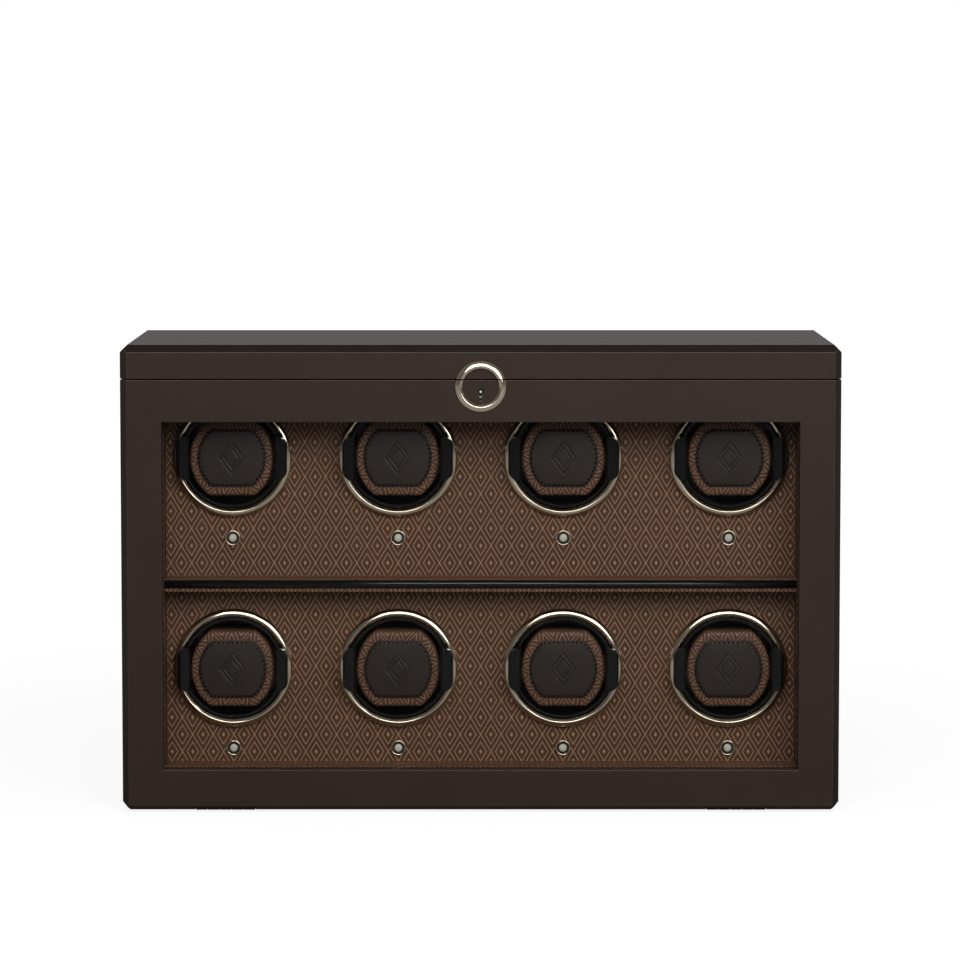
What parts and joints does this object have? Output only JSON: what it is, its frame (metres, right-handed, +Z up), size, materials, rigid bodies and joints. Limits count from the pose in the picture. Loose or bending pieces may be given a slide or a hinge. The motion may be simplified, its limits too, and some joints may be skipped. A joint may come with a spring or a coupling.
{
  "type": "watch winder box",
  "caption": "Leather-covered box with a hinged lid and a glazed drop front over rows of motor-turned drums that hold watch cuffs and keep watches wound.",
  "frame": {"origin": "centre of the case in width and depth, on the surface that the felt base stands on", "axes": "+X to the right seen from the front, +Y from the glazed front to the back, +Z up"},
  "size_m": [0.533, 0.2161, 0.3485],
  "materials": {
    "case_leather": "smooth dark brown covering leather over board, low sheen",
    "lining_leather": "brown printed lining leather with a fine trellis of tan lines",
    "felt": "dark brown felt sheet",
    "trim_gold": "polished pale champagne gold plating",
    "gloss_black": "polished black moulding",
    "cuff_leather": "patterned brown leather round a dark sewn pillow",
    "button_lens": "pale satin push button",
    "pane": "clear flat glass",
    "bronzed_steel": "dark bronzed steel hinge",
    "lock_steel": "steel lock works",
    "motor_metal": "plain metal gear motor",
    "bush_brass": "plain turned brass",
    "fibreboard": "bare fibreboard",
    "circuit": "green circuit laminate",
    "inlet_black": "black moulded socket"
  },
  "bodies": {
    "case": {"base_pad": "felt", "base_board": "case_leather", "left_side": "case_leather", "right_side": "case_leather", "back_panel": "case_leather", "top_deck": "lining_leather", "upper_panel": "lining_leather", "lower_panel": "lining_leather", "bay_liners": "lining_leather", "divider_shelf": "lining_leather", "divider_bead": "gloss_black", "trim_rings": "trim_gold", "button_bezels": "trim_gold", "motor_board": "fibreboard", "gear_motors": "motor_metal", "bearing_bushes": "bush_brass", "control_board": "circuit", "power_inlet": "inlet_black", "lid_hinge_case_leaves": "bronzed_steel", "lid_hinge_pins": "bronzed_steel", "door_hinge_case_leaves": "bronzed_steel", "door_hinge_pins": "bronzed_steel"},
    "door": {"door_frame": "case_leather", "door_glass": "pane", "glass_beads": "lining_leather", "lock_ring_lower": "trim_gold", "lock_case": "lock_steel", "door_hinge_door_leaves": "bronzed_steel"},
    "lid": {"lid_board": "case_leather", "lid_lining": "lining_leather", "lock_ring_upper": "trim_gold", "lid_staple": "lock_steel", "lid_hinge_lid_leaves": "bronzed_steel"},
    "lock": {"lock_hook": "lock_steel"},
    "drum_1": {"winding_drum_1": "gloss_black"},
    "cuff_1": {"watch_cuff_1": "cuff_leather"},
    "button_1": {"setting_button_1": "button_lens"},
    "drum_2": {"winding_drum_2": "gloss_black"},
    "cuff_2": {"watch_cuff_2": "cuff_leather"},
    "button_2": {"setting_button_2": "button_lens"},
    "drum_3": {"winding_drum_3": "gloss_black"},
    "cuff_3": {"watch_cuff_3": "cuff_leather"},
    "button_3": {"setting_button_3": "button_lens"},
    "drum_4": {"winding_drum_4": "gloss_black"},
    "cuff_4": {"watch_cuff_4": "cuff_leather"},
    "button_4": {"setting_button_4": "button_lens"},
    "drum_5": {"winding_drum_5": "gloss_black"},
    "cuff_5": {"watch_cuff_5": "cuff_leather"},
    "button_5": {"setting_button_5": "button_lens"},
    "drum_6": {"winding_drum_6": "gloss_black"},
    "cuff_6": {"watch_cuff_6": "cuff_leather"},
    "button_6": {"setting_button_6": "button_lens"},
    "drum_7": {"winding_drum_7": "gloss_black"},
    "cuff_7": {"watch_cuff_7": "cuff_leather"},
    "button_7": {"setting_button_7": "button_lens"},
    "drum_8": {"winding_drum_8": "gloss_black"},
    "cuff_8": {"watch_cuff_8": "cuff_leather"},
    "button_8": {"setting_button_8": "button_lens"}
  },
  "joints": [
    {"name": "lid_open", "type": "hinge", "parent": "case", "child": "lid", "pos_m": [0, 0.1064, 0.3235], "axis": [-1, 0, 0], "range_deg": [0, 100]},
    {"name": "front_drop", "type": "hinge", "parent": "case", "child": "door", "pos_m": [0, -0.1022, 0.00375], "axis": [1, 0, 0], "range_deg": [0, 89]},
    {"name": "lock_turn", "type": "hinge", "parent": "door", "child": "lock", "pos_m": [0, -0.098, 0.3139], "axis": [0, 1, 0], "range_deg": [0, 60]},
    {"name": "drum_turn_1", "type": "hinge", "parent": "case", "child": "drum_1", "pos_m": [-0.186, -0.058, 0.262], "axis": [0, 1, 0], "continuous": true},
    {"name": "cuff_draw_1", "type": "slide", "parent": "drum_1", "child": "cuff_1", "axis": [0, -1, 0], "range_m": [0, 0.013]},
    {"name": "button_press_1", "type": "slide", "parent": "case", "child": "button_1", "axis": [0, 1, 0], "range_m": [0, 0.0015], "stiffness_N_per_m": 400, "springref_m": -0.001},
    {"name": "drum_turn_2", "type": "hinge", "parent": "case", "child": "drum_2", "pos_m": [-0.062, -0.058, 0.262], "axis": [0, 1, 0], "continuous": true},
    {"name": "cuff_draw_2", "type": "slide", "parent": "drum_2", "child": "cuff_2", "axis": [0, -1, 0], "range_m": [0, 0.013]},
    {"name": "button_press_2", "type": "slide", "parent": "case", "child": "button_2", "axis": [0, 1, 0], "range_m": [0, 0.0015], "stiffness_N_per_m": 400, "springref_m": -0.001},
    {"name": "drum_turn_3", "type": "hinge", "parent": "case", "child": "drum_3", "pos_m": [0.062, -0.058, 0.262], "axis": [0, 1, 0], "continuous": true},
    {"name": "cuff_draw_3", "type": "slide", "parent": "drum_3", "child": "cuff_3", "axis": [0, -1, 0], "range_m": [0, 0.013]},
    {"name": "button_press_3", "type": "slide", "parent": "case", "child": "button_3", "axis": [0, 1, 0], "range_m": [0, 0.0015], "stiffness_N_per_m": 400, "springref_m": -0.001},
    {"name": "drum_turn_4", "type": "hinge", "parent": "case", "child": "drum_4", "pos_m": [0.186, -0.058, 0.262], "axis": [0, 1, 0], "continuous": true},
    {"name": "cuff_draw_4", "type": "slide", "parent": "drum_4", "child": "cuff_4", "axis": [0, -1, 0], "range_m": [0, 0.013]},
    {"name": "button_press_4", "type": "slide", "parent": "case", "child": "button_4", "axis": [0, 1, 0], "range_m": [0, 0.0015], "stiffness_N_per_m": 400, "springref_m": -0.001},
    {"name": "drum_turn_5", "type": "hinge", "parent": "case", "child": "drum_5", "pos_m": [-0.186, -0.058, 0.103], "axis": [0, 1, 0], "continuous": true},
    {"name": "cuff_draw_5", "type": "slide", "parent": "drum_5", "child": "cuff_5", "axis": [0, -1, 0], "range_m": [0, 0.013]},
    {"name": "button_press_5", "type": "slide", "parent": "case", "child": "button_5", "axis": [0, 1, 0], "range_m": [0, 0.0015], "stiffness_N_per_m": 400, "springref_m": -0.001},
    {"name": "drum_turn_6", "type": "hinge", "parent": "case", "child": "drum_6", "pos_m": [-0.062, -0.058, 0.103], "axis": [0, 1, 0], "continuous": true},
    {"name": "cuff_draw_6", "type": "slide", "parent": "drum_6", "child": "cuff_6", "axis": [0, -1, 0], "range_m": [0, 0.013]},
    {"name": "button_press_6", "type": "slide", "parent": "case", "child": "button_6", "axis": [0, 1, 0], "range_m": [0, 0.0015], "stiffness_N_per_m": 400, "springref_m": -0.001},
    {"name": "drum_turn_7", "type": "hinge", "parent": "case", "child": "drum_7", "pos_m": [0.062, -0.058, 0.103], "axis": [0, 1, 0], "continuous": true},
    {"name": "cuff_draw_7", "type": "slide", "parent": "drum_7", "child": "cuff_7", "axis": [0, -1, 0], "range_m": [0, 0.013]},
    {"name": "button_press_7", "type": "slide", "parent": "case", "child": "button_7", "axis": [0, 1, 0], "range_m": [0, 0.0015], "stiffness_N_per_m": 400, "springref_m": -0.001},
    {"name": "drum_turn_8", "type": "hinge", "parent": "case", "child": "drum_8", "pos_m": [0.186, -0.058, 0.103], "axis": [0, 1, 0], "continuous": true},
    {"name": "cuff_draw_8", "type": "slide", "parent": "drum_8", "child": "cuff_8", "axis": [0, -1, 0], "range_m": [0, 0.013]},
    {"name": "button_press_8", "type": "slide", "parent": "case", "child": "button_8", "axis": [0, 1, 0], "range_m": [0, 0.0015], "stiffness_N_per_m": 400, "springref_m": -0.001}
  ]
}
